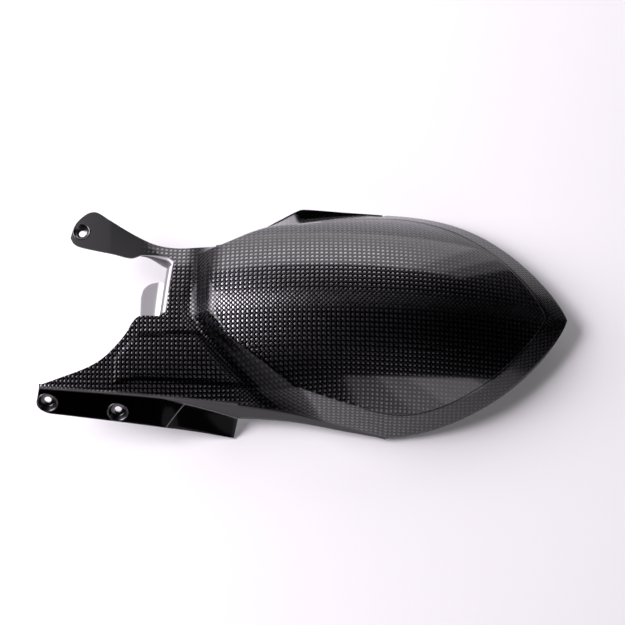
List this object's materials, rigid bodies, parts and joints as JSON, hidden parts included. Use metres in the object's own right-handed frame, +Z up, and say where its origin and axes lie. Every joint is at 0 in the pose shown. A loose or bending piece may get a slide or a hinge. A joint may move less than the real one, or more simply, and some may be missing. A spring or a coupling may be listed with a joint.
{
  "type": "rear hugger mudguard",
  "caption": "Carbon fibre rear hugger mudguard: one moulded shell with a chain guard and three recessed screw mounts.",
  "frame": {"origin": "middle of the chain guard's front bore, halfway through its floor", "axes": "+X rearward along the bike, +Y to the rider's right, +Z up from the tyre"},
  "size_m": [0.5115, 0.2379, 0.0904],
  "materials": {
    "laminate": "clear lacquer over black carbon fibre cloth, plain weave laid at 45 degrees"
  },
  "bodies": {
    "root": {"mudguard": "laminate"}
  },
  "joints": []
}
